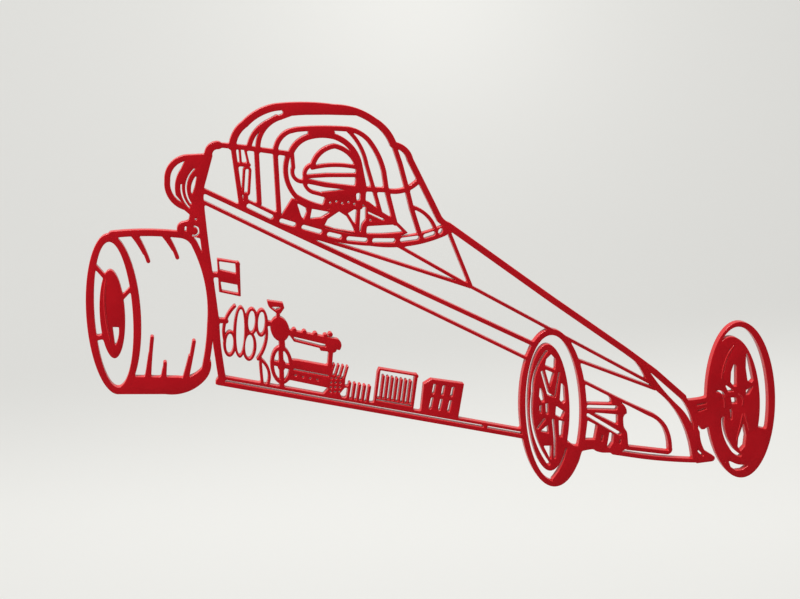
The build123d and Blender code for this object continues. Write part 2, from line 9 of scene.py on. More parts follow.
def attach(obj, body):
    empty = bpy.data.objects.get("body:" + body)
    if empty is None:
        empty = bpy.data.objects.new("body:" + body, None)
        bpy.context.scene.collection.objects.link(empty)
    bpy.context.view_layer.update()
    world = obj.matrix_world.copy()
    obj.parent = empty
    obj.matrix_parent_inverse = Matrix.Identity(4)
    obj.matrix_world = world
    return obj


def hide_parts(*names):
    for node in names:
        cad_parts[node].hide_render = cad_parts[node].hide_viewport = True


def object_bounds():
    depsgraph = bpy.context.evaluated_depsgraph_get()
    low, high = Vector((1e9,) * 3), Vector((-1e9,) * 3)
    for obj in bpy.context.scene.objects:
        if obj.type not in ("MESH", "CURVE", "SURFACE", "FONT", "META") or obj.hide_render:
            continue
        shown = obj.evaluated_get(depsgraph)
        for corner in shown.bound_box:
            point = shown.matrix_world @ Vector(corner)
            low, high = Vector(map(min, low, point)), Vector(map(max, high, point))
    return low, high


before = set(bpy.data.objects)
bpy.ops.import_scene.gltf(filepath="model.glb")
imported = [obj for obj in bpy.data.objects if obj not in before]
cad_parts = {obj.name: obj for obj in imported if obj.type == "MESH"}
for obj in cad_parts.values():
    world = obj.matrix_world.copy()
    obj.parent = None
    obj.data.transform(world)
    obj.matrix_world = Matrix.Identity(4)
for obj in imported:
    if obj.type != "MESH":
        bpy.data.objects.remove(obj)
cadLow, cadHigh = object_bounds()
print("frame:", len(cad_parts), "plates")

millimetresPerMetre = 1000


def addObject(name, data):
    thing = bpy.data.objects.new(name, data)
    bpy.context.scene.collection.objects.link(thing)
    return thing


# camera: the photograph's view, rolled a little because the sign hangs level and the picture doesn't

viewSettings = {
    "target": (-0.029, -0.00175, 0.0565),  # seen at the picture's centre
    "azimuth": -14.0,
    "elevation": 15.0,
    "roll": 5.5,
    "distance": 0.602,
    "lens": 50.0,
    "sensor": 36.0,
    "nearest": 0.01,
}


def makeCamera(look):
    # back points from the target to the camera; right and up are level and upright, turned by the roll
    azimuth = math.radians(look["azimuth"])
    elevation = math.radians(look["elevation"])
    roll = math.radians(look["roll"])
    back = Vector((math.sin(azimuth) * math.cos(elevation), -math.cos(azimuth) * math.cos(elevation),
                   math.sin(elevation)))
    level = Vector((math.cos(azimuth), math.sin(azimuth), 0.0))
    upright = back.cross(level)
    right = level * math.cos(roll) + upright * math.sin(roll)
    up = upright * math.cos(roll) - level * math.sin(roll)
    data = bpy.data.cameras.new("signCamera")
    data.lens = look["lens"]
    data.sensor_width = look["sensor"]
    data.clip_start = look["nearest"]
    place = Matrix((right, up, back)).transposed().to_4x4()
    place.translation = Vector(look["target"]) + back * look["distance"]
    camera = addObject("signCamera", data)
    camera.matrix_world = place
    bpy.context.scene.camera = camera


makeCamera(viewSettings)
print("camera set")


# outlines: every plate is flat, so its shape is the closed loops round its front face, in (x, z)

outlineSettings = {
    "frontWithin": 1e-6,     # of the front plane, for a corner that lies on it
    "gridPerMetre": 2e5,     # corners on the same spot of this grid are one
    "leastEdge": 0.00002,
    "spikeRounds": 3,
    "spikeSlope": 0.002,     # an outline that comes back within this slope is a spike
    "block": 400,            # points compared with all others at a time
}


def follow(loopOf):
    # loops lie one after another: the next point is one on, and a loop's last point goes back to its first
    first = np.searchsorted(loopOf, loopOf, side="left")
    last = np.searchsorted(loopOf, loopOf, side="right") - 1
    index = np.arange(len(loopOf))
    after = np.where(index == last, first, index + 1)
    before = np.where(index == first, last, index - 1)
    return after, before


def repeated(counts):
    # each index as often as its count says, and the place of every copy in its run
    pick = np.repeat(np.arange(len(counts)), counts)
    place = np.arange(len(pick)) - np.repeat(np.cumsum(counts) - counts, counts)
    return pick, place


def blocksOf(count):
    return np.array_split(np.arange(count), count // outlineSettings["block"] + 1)


def crossProduct(a, b):
    return a[..., 0] * b[..., 1] - a[..., 1] * b[..., 0]


def turnOf(arriving, leaving):
    # angle from one direction to the next, positive to the left
    return np.arctan2(crossProduct(arriving, leaving), (arriving * leaving).sum(1))


def sideOf(a, b, c):
    # twice the area of the triangle a, b, c: positive where c lies to the left of the line from a to b
    area = (b[..., 0] - a[..., 0]) * (c[..., 1] - a[..., 1])
    return area - (b[..., 1] - a[..., 1]) * (c[..., 0] - a[..., 0])


def frontTriangles(mesh):
    # spots of the grid in (x, z), and the triangles of the front face as indices into them
    mesh.calc_loop_triangles()
    points = np.empty(len(mesh.vertices) * 3, np.float32)
    mesh.vertices.foreach_get("co", points)
    points = points.reshape(-1, 3).astype(float)
    corners = np.empty(len(mesh.loop_triangles) * 3, np.int32)
    mesh.loop_triangles.foreach_get("vertices", corners)
    corners = corners.reshape(-1, 3)
    onFront = np.abs(points[:, 1] - cadLow.y) < outlineSettings["frontWithin"]
    corners = corners[onFront[corners].all(1)]
    grid = outlineSettings["gridPerMetre"]
    spots, which = np.unique(np.round(points[:, [0, 2]] * grid), axis=0, return_inverse=True)
    return spots / grid, which.reshape(-1)[corners]


def rimEdges(corners, count):
    # edges that the triangles run along more often one way than the other, in that direction
    starts = corners.ravel()
    ends = np.roll(corners, -1, 1).ravel()
    pairs, which = np.unique(np.minimum(starts, ends) * count + np.maximum(starts, ends), return_inverse=True)
    balance = np.bincount(which.reshape(-1), np.sign(ends - starts))
    pairs, balance = pairs[balance != 0], balance[balance != 0]
    starts = np.where(balance > 0, pairs // count, pairs % count)
    ends = np.where(balance > 0, pairs % count, pairs // count)
    return starts, ends


def chainLoops(starts, ends):
    # edges put in order by pointer doubling: after k rounds a point knows the lowest label within 2^k steps,
    # and then its steps to the loop's head
    rim, which = np.unique(np.concatenate((starts, ends)), return_inverse=True)
    which = which.reshape(2, -1)
    count = len(rim)
    index = np.arange(count)
    step = index.copy()
    step[which[0]] = which[1]
    rounds = int(math.log2(count)) + 2
    label = index
    jump = step
    for _ in range(rounds):
        label = np.minimum(label, label[jump])
        jump = jump[jump]
    head = label == index
    toHead = np.where(head, 0, 1)
    jump = np.where(head, index, step)
    for _ in range(rounds):
        toHead = toHead + toHead[jump]
        jump = jump[jump]
    order = np.lexsort((np.where(head, -count, -toHead), label))
    return rim[order], label[order]


def readOutline(node):
    spots, corners = frontTriangles(node.data)
    rim, loopOf = chainLoops(*rimEdges(corners, len(spots)))
    return spots[rim], loopOf


def coveredBy(spots, starts, ends):
    # even-odd rule: a ray to the right of a covered spot crosses the outlines an odd number of times
    covered = np.zeros(len(spots), bool)
    rise = np.where(ends[:, 1] == starts[:, 1], 1.0, ends[:, 1] - starts[:, 1])
    for block in blocksOf(len(spots)):
        x = spots[block, 0][:, None]
        z = spots[block, 1][:, None]
        spans = (starts[:, 1] > z) != (ends[:, 1] > z)
        cross = starts[:, 0] + (z - starts[:, 1]) * (ends[:, 0] - starts[:, 0]) / rise
        covered[block] = ((spans & (cross > x)).sum(1) % 2).astype(bool)
    return covered


def crossing(starts, ends):
    # two edges cross where each has the other's ends on both of its sides
    crossed = np.zeros(len(starts), bool)
    for block in blocksOf(len(starts)):
        a = starts[block][:, None]
        b = ends[block][:, None]
        apart = sideOf(a, b, starts) * sideOf(a, b, ends) < 0
        astride = sideOf(starts, ends, a) * sideOf(starts, ends, b) < 0
        crossed[block] = (apart & astride).any(1)
    return crossed


def dropShort(points, loopOf):
    # leaves out points that the next one follows too closely
    after, _ = follow(loopOf)
    keep = np.linalg.norm(points[after] - points, axis=1) > outlineSettings["leastEdge"]
    return points[keep], loopOf[keep]


def dropSpikes(points, loopOf):
    # leaves out points where an outline turns straight back on itself or starts an edge that crosses another
    for _ in range(outlineSettings["spikeRounds"]):
        after, before = follow(loopOf)
        onward = points[after] - points
        arriving = points - points[before]
        ahead = (arriving * onward).sum(1)
        across = np.abs(crossProduct(arriving, onward))
        drop = (ahead < 0) & (across < outlineSettings["spikeSlope"] * np.abs(ahead))
        drop |= crossing(points, points[after])
        points, loopOf = dropShort(points[~drop], loopOf[~drop])
    return points, loopOf


def edgeFrame(points, loopOf):
    # unit direction, length and inward normal (to the left) of the edge that leaves each point
    after, _ = follow(loopOf)
    edge = points[after] - points
    length = np.linalg.norm(edge, axis=1)
    along = edge / length[:, None]
    inward = np.stack((-along[:, 1], along[:, 0]), 1)
    return along, length, inward


def edgesOf(outlines, names):
    starts = np.concatenate([outlines[name][0] for name in names])
    ends = np.concatenate([outlines[name][0][follow(outlines[name][1])[0]] for name in names])
    return starts, ends


# seams: where one plate meets another, both outlines get the same points and keep a square edge

seamSettings = {
    "reach": 0.00007,      # a neighbour this close beyond an edge makes it a seam
    "snap": 0.00005,       # a neighbour's corner this close to an edge divides it
    "margin": 0.002,
}


def boxesMeet(one, other):
    low = np.maximum(one.min(0), other.min(0))
    high = np.minimum(one.max(0), other.max(0))
    return bool((low < high + seamSettings["margin"]).all())


def neighboursOf(outlines, name):
    mine = outlines[name][0]
    return [other for other in outlines if other != name and boxesMeet(mine, outlines[other][0])]


def divideAtNeighbours(outlines, name):
    # a neighbour's point that lies on one of this plate's edges becomes a point of the edge:
    # key = edge number + share along it, so sorting the keys puts old and new points in order
    points, loopOf = outlines[name]
    others = neighboursOf(outlines, name)
    if not others:
        return points, loopOf
    along, length, inward = edgeFrame(points, loopOf)
    clear = outlineSettings["leastEdge"] / length
    spots = np.concatenate([outlines[other][0] for other in others])
    low = points.min(0) - seamSettings["margin"]
    high = points.max(0) + seamSettings["margin"]
    spots = spots[((spots > low) & (spots < high)).all(1)]
    keys = [np.arange(len(points), dtype=float)]
    found = [points]
    for block in blocksOf(len(spots)):
        offset = spots[block][:, None, :] - points[None]
        share = (offset * along).sum(2) / length
        aside = np.abs((offset * inward).sum(2))
        aside = np.where((share > clear) & (share < 1 - clear), aside, np.inf)
        fresh = np.linalg.norm(offset, axis=2).min(1) > outlineSettings["leastEdge"]
        hits = np.nonzero(fresh & (aside.min(1) < seamSettings["snap"]))[0]
        edges = aside[hits].argmin(1)   # the nearest edge alone, because a thin tip has one on each side
        keys.append(edges + share[hits, edges])
        found.append(spots[block][hits])
    keys = np.concatenate(keys)
    order = np.argsort(keys, kind="stable")
    divided = np.concatenate(found)[order]
    return dropShort(divided, loopOf[keys[order].astype(int)])


def freeEdges(outlines, name):
    # an edge is free where no other plate lies just beyond its middle
    points, loopOf = outlines[name]
    others = neighboursOf(outlines, name)
    if not others:
        return np.ones(len(points), bool)
    after, _ = follow(loopOf)
    _, _, inward = edgeFrame(points, loopOf)
    beyond = (points + points[after]) / 2 - inward * seamSettings["reach"]
    return ~coveredBy(beyond, *edgesOf(outlines, others))


outlines = {name: dropShort(*readOutline(node)) for name, node in sorted(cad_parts.items())}
outlines = {name: divideAtNeighbours(outlines, name) for name in outlines}
print("outlines read:", sum(len(points) for points, _ in outlines.values()), "points")


# softened corners: the nozzle rounds a tip and fills a crotch a little, also where two plates meet

cornerSettings = {
    "tipRadius": 0.0005,
    "crotchRadius": 0.0009,
    "longest": 0.0014,           # of an edge taken up by one corner
    "cornerShare": 0.45,         # of the shorter edge
    "leastTurn": 18.0,
    "sharpestTurn": 2.6,         # radians
    "gentleTurn": (4.0, 42.0),   # a bend between long edges runs through them as one sweep
    "gentleSpan": 0.0015,
    "gentleShare": 0.44,
    "gentleLongest": 0.006,
    "webTurn": (0.3, 2.8),       # radians
    "webShare": 0.8,
    "webMiddle": 0.6,
    "probe": 0.00015,
    "steps": 5,
    "tries": 6,
}
leftSharp, rounded, webBack, webOn = range(4)    # kinds of corner


def cornerReach(look, turn, lengthIn, length):
    # how far a curve takes up both edges: radius * tan(turn / 2), or a share of the shorter edge where the
    # bend is gentle
    radius = np.where(turn > 0, look["tipRadius"], look["crotchRadius"])
    reach = radius * np.tan(np.minimum(np.abs(turn), look["sharpestTurn"]) / 2)
    span = np.minimum(length, lengthIn)
    reach = np.minimum(np.minimum(reach, look["longest"]), look["cornerShare"] * span)
    slight, most = np.radians(look["gentleTurn"])
    gentle = (np.abs(turn) > slight) & (np.abs(turn) < most) & (span > look["gentleSpan"])
    sweep = np.minimum(look["gentleShare"] * span, look["gentleLongest"])
    return np.where(gentle, sweep, reach), gentle


def webReach(look, turn, length):
    reach = look["crotchRadius"] / np.tan(np.clip(turn, *look["webTurn"]) / 2)
    return np.minimum(np.minimum(reach, look["longest"]), look["webShare"] * length)


def webStands(look, everyPlate, corner, onward, aside, reach):
    # the neighbour goes on under the web's foot, and the space over it is open
    foot = corner + onward * reach[:, None]
    middle = corner + onward * reach[:, None] * look["webMiddle"]
    under = coveredBy(foot - aside * look["probe"], *everyPlate)
    over = coveredBy(middle + aside * look["probe"], *everyPlate)
    return under & ~over


def softenCorners(outlines, name):
    # a corner c between two free edges becomes the curve (1-s)^2 a + 2s(1-s) c + s^2 b, from a before it to b
    # after it; where a free edge meets a seam, the curve runs out along the neighbour's edge as a small web
    look = cornerSettings
    points, loopOf = outlines[name]
    _, before = follow(loopOf)
    along, length, inward = edgeFrame(points, loopOf)
    alongIn, lengthIn, inwardIn = along[before], length[before], inward[before]
    free = freeEdges(outlines, name)
    freeIn = free[before]
    turn = turnOf(alongIn, along)
    bends = np.abs(turn) > math.radians(look["leastTurn"])
    opens = bends & (turn > 0)
    reach, gentle = cornerReach(look, turn, lengthIn, length)
    reachBack = webReach(look, turn, lengthIn)
    reachOn = webReach(look, turn, length)
    everyPlate = edgesOf(outlines, [name] + neighboursOf(outlines, name))
    standsBack = webStands(look, everyPlate, points, -along, inward, reachBack)
    standsOn = webStands(look, everyPlate, points, alongIn, inwardIn, reachOn)
    kind = np.full(len(points), leftSharp)
    kind[free & freeIn & (bends | gentle)] = rounded
    kind[opens & freeIn & ~free & standsBack] = webBack
    kind[opens & ~freeIn & free & standsOn] = webOn
    steps = look["steps"]
    for _ in range(look["tries"]):
        pick, place = repeated(np.choose(kind, (1, steps, steps + 1, steps + 1)))
        place = place[:, None]
        kindOf = kind[pick][:, None]
        s = np.clip((place - (kindOf == webOn)) / (steps - 1), 0, 1)
        corner = points[pick]
        span = np.choose(kind, (reach, reach, reachBack, reachOn))[pick][:, None]
        start = np.where(kindOf == webOn, corner + alongIn[pick] * span, corner - alongIn[pick] * span)
        end = np.where(kindOf == webBack, corner - along[pick] * span, corner + along[pick] * span)
        curve = (1 - s) ** 2 * start + 2 * s * (1 - s) * corner + s ** 2 * end
        webRoot = ((kindOf == webBack) & (place == steps)) | ((kindOf == webOn) & (place == 0))
        curve = np.where((kindOf == leftSharp) | webRoot, corner, curve)
        onward, backward = follow(loopOf[pick])
        crossed = crossing(curve, curve[onward])
        if not crossed.any():
            break
        kind[pick[crossed | crossed[backward]]] = leftSharp    # because its curve crosses another
    return curve, loopOf[pick]


softened = {name: dropShort(*softenCorners(outlines, name)) for name in outlines}
outlines = {name: dropSpikes(*divideAtNeighbours(softened, name)) for name in softened}
print("corners softened:", sum(len(points) for points, _ in outlines.values()), "points")


# plates: an edge profile carried round every loop, flat front and back between

edgeSettings = {
    "frontRound": 0.00036,   # rounded edge of the last layers
    "backEase": 0.00010,     # small ease where the first layer met the bed
    "roundSteps": 4,
    "fanSteps": 3,           # sections that turn round a reflex corner or into a seam
    "leastFan": 15.0,
    "leastMitre": 0.05,
    "leastSize": 1e-9,
    "longestMitre": 2.5,
    "steepestSeam": 0.4,     # sine of the sharpest angle between an edge and a seam
    "settleRounds": 14,      # the rounding shrinks this often where it would cross itself
    "settleStep": 0.6,
    "settleFlat": 4,         # and is left out where the last rounds still find it crossed
    "crease": 32.0,
    "capWeld": 1e-6,         # millimetres
    "weld": 4e-7,
}


def turned(vectors, angles):
    cos = np.cos(angles)
    sin = np.sin(angles)
    return np.stack((vectors[:, 0] * cos - vectors[:, 1] * sin, vectors[:, 0] * sin + vectors[:, 1] * cos), 1)


def insetSections(points, loopOf, free):
    # where the profile stands and which way it leans inwards: along the mitre at a corner, along the seam
    # where an edge runs into a neighbour, not at all on a seam, and in a fan where the outline turns back
    look = edgeSettings
    _, before = follow(loopOf)
    along, _, inward = edgeFrame(points, loopOf)
    alongIn, inwardIn, freeIn = along[before], inward[before], free[before]
    turn = turnOf(alongIn, along)
    mitre = (inwardIn + inward) / np.maximum(1 + (inwardIn * inward).sum(1), look["leastMitre"])[:, None]
    size = np.linalg.norm(mitre, axis=1)[:, None]
    lean = mitre * np.minimum(1, look["longestMitre"] / np.maximum(size, look["leastSize"]))
    square = math.pi / 2
    slant = 1 / np.maximum(np.sin(np.pi - np.abs(turn)), look["steepestSeam"])
    slant = np.where(turn > square, slant, 1)[:, None]
    leastFan = math.radians(look["leastFan"])
    reflex = free & freeIn & (turn < -leastFan)
    entering = freeIn & ~free
    leaving = ~freeIn & free
    lean[reflex] = inwardIn[reflex]
    lean[~free & ~freeIn] = 0
    lean[entering] = (along * slant)[entering]
    lean[leaving] = (-alongIn * slant)[leaving]
    fanIn = entering & (turn < square - leastFan)
    fanOut = leaving & (turn < square - leastFan)
    lean[fanIn] = inwardIn[fanIn]
    sweep = np.where(reflex, turn, np.where(fanIn | fanOut, turn - square, 0))
    counts = np.where(sweep != 0, look["fanSteps"], 1)
    pick, place = repeated(counts)
    share = place / np.maximum(counts[pick] - 1, 1)
    return points[pick], turned(lean[pick], sweep[pick] * share), loopOf[pick]


def settledLean(base, lean, sectionOf):
    # the lean shrinks step by step at the ends of rim edges that cross another or run against their outline
    after, before = follow(sectionOf)
    share = np.ones(len(base))
    for left in range(edgeSettings["settleRounds"], 0, -1):
        wrong = np.zeros(len(base), bool)
        for inset in (edgeSettings["frontRound"], edgeSettings["backEase"]):
            rim = base + lean * share[:, None] * inset
            against = ((rim[after] - rim) * (base[after] - base)).sum(1) < 0
            wrong |= against | crossing(rim, rim[after])
        wrong = wrong | wrong[before]
        if not wrong.any():
            break
        share[wrong] *= edgeSettings["settleStep"] if left > edgeSettings["settleFlat"] else 0.0
    return lean * share[:, None]


def edgeProfile(depth):
    # (inset, y) from the back face round to the front: a small chamfer, a straight side, a quarter circle
    radius = edgeSettings["frontRound"]
    ease = edgeSettings["backEase"]
    angle = np.linspace(0, math.pi / 2, edgeSettings["roundSteps"] + 1)
    inset = np.concatenate(([ease, 0], radius * (1 - np.cos(angle))))
    y = np.concatenate(([0, -ease], -(depth - radius) - radius * np.sin(angle)))
    return inset, y


def flatCap(rim, loopOf, y, flip):
    # triangles between the loops; a point inside an odd number of loops is plate
    after, _ = follow(loopOf)
    edges = np.stack((np.arange(len(rim)), after), 1)
    inMillimetres = (rim * millimetresPerMetre).tolist()
    made = delaunay_2d_cdt(inMillimetres, edges.tolist(), [], 0, edgeSettings["capWeld"])
    spots = np.array(made[0]) / millimetresPerMetre
    faces = np.array(made[2], int)
    faces = faces[coveredBy(spots[faces].mean(1), rim, rim[after])]
    a, b, c = spots[faces[:, 0]], spots[faces[:, 1]], spots[faces[:, 2]]
    wrong = (sideOf(a, b, c) < 0) != flip
    faces = np.where(wrong[:, None], faces[:, ::-1], faces)
    return np.stack((spots[:, 0], np.full(len(spots), y), spots[:, 1]), 1), faces


# fine raised strokes on two rims, laid as beads that stand a little out of the front

strokeSettings = {
    "halfWidth": 0.0005,
    "height": 0.0004,
    "stations": 25,
    "around": 12,
    "endPower": 6,          # how bluntly a bead closes at its ends
    "lines": {              # (x, z) in millimetres
        "rear_rim": [
            [(-183.0, 63.8), (-183.8, 53.6), (-182.8, 42.2), (-180.0, 28.8)],
        ],
        "far_rim": [
            [(175.0, 35.7), (171.9, 29.4), (170.4, 21.3), (170.9, 13.8)],
            [(188.7, -7.0), (187.8, -25.2)],
            [(189.7, -7.0), (195.3, -18.7)],
            [(172.8, 5.3), (174.7, 1.2), (175.8, -3.9)],
            [(183.4, 5.1), (186.6, 2.2), (187.2, -2.6)],
        ],
    },
}


def strokeBead(line, look):
    # an oval carried along the curve through the points: path(t) + normal * halfWidth * e * cos(a) sideways
    # and height * e * sin(a) forward, where e = sqrt(1 - (2t - 1)^endPower) closes both ends
    spots = np.array(line) / millimetresPerMetre
    share = np.concatenate(([0], np.cumsum(np.linalg.norm(np.diff(spots, axis=0), axis=1))))
    t = np.linspace(0, 1, look["stations"])
    powers = np.polyfit(share / share[-1], spots, len(spots) - 1)
    path = np.stack([np.polyval(powers[:, axis], t) for axis in (0, 1)], 1)
    along = np.gradient(path, axis=0)
    along /= np.linalg.norm(along, axis=1)[:, None]
    ease = np.sqrt(np.maximum(0, 1 - (2 * t - 1) ** look["endPower"]))[:, None]
    angle = np.linspace(0, 2 * math.pi, look["around"], endpoint=False)
    aside = look["halfWidth"] * ease * np.cos(angle)
    x = path[:, :1] - along[:, 1:] * aside
    z = path[:, 1:] + along[:, :1] * aside
    y = cadLow.y - look["height"] * ease * np.sin(angle)
    ring = np.arange(len(angle))
    firstOf = np.arange(len(t) - 1)[:, None] * len(angle)
    here = firstOf + ring
    there = firstOf + np.roll(ring, -1)
    quads = np.stack((here, there, there + len(angle), here + len(angle)), 2).reshape(-1, 4)
    return np.stack((x, y, z), 2).reshape(-1, 3), quads


def closeMesh(mesh):
    # welds wall and caps; a sliver that hangs on its neighbours' shared edges, with an edge of its own open,
    # is taken away
    work = bmesh.new()
    work.from_mesh(mesh)
    bmesh.ops.remove_doubles(work, verts=work.verts, dist=edgeSettings["weld"])
    bmesh.ops.dissolve_degenerate(work, edges=work.edges, dist=edgeSettings["weld"])
    loose = [face for face in work.faces if any(edge.is_boundary for edge in face.edges)]
    flaps = [face for face in loose if any(len(edge.link_faces) > 2 for edge in face.edges)]
    bmesh.ops.delete(work, geom=flaps, context="FACES")
    work.to_mesh(mesh)
    work.free()


def makePlate(name, outline, free, strokes):
    # a wall point is its outline point + lean * inset(k), at depth y(k); flat caps close the two end rows
    base, lean, sectionOf = insetSections(*outline, free)
    lean = settledLean(base, lean, sectionOf)
    inset, y = edgeProfile(cadHigh.y - cadLow.y)
    rows = len(inset)
    spots = base[:, None, :] + lean[:, None, :] * inset[None, :, None]
    wall = np.stack((spots[..., 0], np.broadcast_to(y + cadHigh.y, spots.shape[:2]), spots[..., 1]), 2)
    after, _ = follow(sectionOf)
    here = np.arange(len(base))[:, None] * rows + np.arange(rows - 1)
    there = after[:, None] * rows + np.arange(rows - 1)
    quads = np.stack((here, there, there + 1, here + 1), 2).reshape(-1, 4)
    front, frontFaces = flatCap(spots[:, -1], sectionOf, cadLow.y, False)
    rear, rearFaces = flatCap(spots[:, 0], sectionOf, cadHigh.y, True)
    vertices = np.concatenate((wall.reshape(-1, 3), front, rear))
    frontFaces = frontFaces + len(base) * rows
    rearFaces = rearFaces + len(base) * rows + len(front)
    for line in strokes:
        bead, beadQuads = strokeBead(line, strokeSettings)
        quads = np.concatenate((quads, beadQuads + len(vertices)))
        vertices = np.concatenate((vertices, bead))
    mesh = bpy.data.meshes.new(name)
    mesh.from_pydata(vertices, [], quads.tolist() + frontFaces.tolist() + rearFaces.tolist())
    smooth = np.zeros(len(mesh.polygons), bool)
    smooth[:len(quads)] = True
    mesh.polygons.foreach_set("use_smooth", smooth)
    closeMesh(mesh)
    mesh.set_sharp_from_angle(angle=math.radians(edgeSettings["crease"]))
    return addObject(name, mesh)


plates = {}
for name in outlines:
    strokes = strokeSettings["lines"].get(name, [])
    plate = makePlate(name + "_plate", outlines[name], freeEdges(outlines, name), strokes)
    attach(plate, "root")
    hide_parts(name)
    plates[name] = plate
print("plates made:", sum(len(plate.data.polygons) for plate in plates.values()), "faces")


# shader sums: a wire is one socket, and arithmetic on wires adds Math nodes

class Wire:
    def __init__(self, tree, socket=None):
        self.tree = tree
        self.socket = socket

    def make(self, kind, settings, inputs, output=0):
        node = self.tree.nodes.new(kind)
        for name, value in settings.items():
            setattr(node, name, value)
        for name, value in inputs.items():
            if isinstance(value, Wire):
                self.tree.links.new(value.socket, node.inputs[name])
            else:
                node.inputs[name].default_value = value
        return Wire(self.tree, node.outputs[output] if len(node.outputs) else None)

    def sum(self, operation, first, second=0.0, clamp=False):
        settings = {"operation": operation, "use_clamp": clamp}
        return self.make("ShaderNodeMath", settings, {0: first, 1: second})

    def __add__(self, other):
        return self.sum("ADD", self, other)

    def __radd__(self, other):
        return self.sum("ADD", other, self)

    def __sub__(self, other):
        return self.sum("SUBTRACT", self, other)

    def __rsub__(self, other):
        return self.sum("SUBTRACT", other, self)

    def __mul__(self, other):
        return self.sum("MULTIPLY", self, other)

    def __rmul__(self, other):
        return self.sum("MULTIPLY", other, self)

    def __truediv__(self, other):
        return self.sum("DIVIDE", self, other)

    def __rtruediv__(self, other):
        return self.sum("DIVIDE", other, self)

    def sine(self):
        return self.sum("SINE", self)

    def size(self):
        return self.sum("ABSOLUTE", self)

    def held(self):
        return self.sum("ADD", self, 0.0, clamp=True)

    def eased(self, low, high):
        return self.make("ShaderNodeMapRange", {"interpolation_type": "SMOOTHSTEP"},
                         {"Value": self, "From Min": low, "From Max": high})

    def parts(self):
        split = self.make("ShaderNodeSeparateXYZ", {}, {0: self})
        return [Wire(self.tree, socket) for socket in split.socket.node.outputs]

    def blend(self, first, second):
        return self.make("ShaderNodeMix", {"data_type": "RGBA"}, {0: self, 6: first, 7: second}, 2)

    def noise(self, scale, detail):
        return self.make("ShaderNodeTexNoise", {}, {"Vector": self, "Scale": scale, "Detail": detail})


def startMaterial(name):
    material = bpy.data.materials.new(name)
    material.use_nodes = True
    material.node_tree.nodes.clear()
    return material, Wire(material.node_tree)


# red plastic, laid in fine layers: their edges show as lines round the sides, and the last layer's strokes
# as a diagonal hatch on the front

plasticSettings = {
    "deep": (0.385, 0.0046, 0.0096, 1),
    "pale": (0.460, 0.0066, 0.0124, 1),
    "edge": (0.680, 0.030, 0.034, 1),    # painted highlight: a paler red painted on the sides and rounded edges, for the light that falls on them and shows through the thin plastic
    "paintedSideLightShare": 0.9,
    "flatFacing": (0.75, 0.97),  # size of the normal's y over which side turns to front or back
    "patch": 38.0,               # per metre: slow drift of the tone
    "patchDetail": 2.0,
    "patchRange": (0.3, 0.7),
    "patchTone": 0.7,
    "grain": 1400.0,             # per metre
    "grainDetail": 3.0,
    "grainTone": 0.3,
    "grainRelief": 0.7,
    "grainMiddle": 0.5,
    "layerHeight": 0.0002,
    "layerWander": 2.0,
    "layerTone": 0.05,
    "layerRelief": 0.8,
    "strokeWidth": 0.00042,
    "strokeWander": 0.8,
    "strokeRelief": 0.45,
    "roughness": 0.40,
    "roughnessSpread": 0.16,
    "edgeRoughness": 0.05,
    "bump": 0.35,
    "bumpDepth": 0.000025,
    "specular": 0.06,
    "sideGloss": 0.9,            # the sides and rounded edges are smoother and catch the pale room
    "sideRoughness": 0.22,
}


def redPlastic(look):
    material, w = startMaterial("redPlastic")
    spot = w.make("ShaderNodeTexCoord", {}, {}, "Object")
    facing = w.make("ShaderNodeNewGeometry", {}, {}, "Normal")
    x, y, z = spot.parts()
    flat = facing.parts()[1].size().eased(*look["flatFacing"])
    side = 1 - flat
    drift = spot.noise(look["patch"], look["patchDetail"])
    grain = spot.noise(look["grain"], look["grainDetail"])
    layers = (y * (2 * math.pi / look["layerHeight"]) + drift * look["layerWander"]).sine()
    hatch = (x + z) * (math.sqrt(2) * math.pi / look["strokeWidth"]) + grain * look["strokeWander"]
    relief = flat * hatch.sine() * look["strokeRelief"] + side * layers * look["layerRelief"]
    relief = relief + grain * look["grainRelief"]
    bump = w.make("ShaderNodeBump", {}, {"Strength": look["bump"], "Distance": look["bumpDepth"],
                                         "Height": relief})
    tone = drift.eased(*look["patchRange"]) * look["patchTone"] + grain * look["grainTone"]
    tone = (tone + side * layers * look["layerTone"]).held()
    rough = (grain - look["grainMiddle"]) * look["roughnessSpread"] + look["roughness"]
    red = tone.blend(look["deep"], look["pale"])
    shader = w.make("ShaderNodeBsdfPrincipled", {}, {
        # painted highlight: the sides and rounded edges take the paler red, as painted side light
        "Base Color": (side * look["paintedSideLightShare"]).blend(red, look["edge"]),
        "Roughness": rough + side * look["edgeRoughness"],
        "Specular IOR Level": look["specular"],
        "Coat Weight": side * look["sideGloss"],
        "Coat Roughness": look["sideRoughness"],
        "Normal": bump,
    })
    w.make("ShaderNodeOutputMaterial", {}, {"Surface": shader})
    return material


plastic = redPlastic(plasticSettings)
for plate in plates.values():
    plate.data.materials.append(plastic)
print("plastic made")


# stage: floor, cove and wall in one sweep, far enough behind that the sign throws no shadow that shows

stageSettings = {
    "floor": -0.66,
    "wall": 1.57,
    "cove": 0.42,
    "coveSteps": 33,
    "front": -7.0,
    "top": 4.0,
    "halfWidth": 8.0,
    "widthSteps": 9,
    "wallTone": 0.715,
    "floorTone": 0.825,
    "paintedGlow": 0.215,           # painted pool of light: a brighter patch of the wall behind the canopy
    "glowAt": (0.34, 0.26),
    "glowReach": (0.40, 0.34),
    "slope": 0.1,            # the floor's edge lies level in the picture
    "groundRise": 0.55,      # share of the cove over which floor turns to wall
    "paintedLightBand": 0.085,           # painted pool of light: a brighter strip of the floor in front of the cove
    "bandAt": 1.15,
    "bandReach": 0.3,
    "warmth": (1.0, 0.995, 0.955),
    "own": 0.86,             # share of the tone that no lamp changes
    "cloth": (0.8, 0.8, 0.79, 1),
}


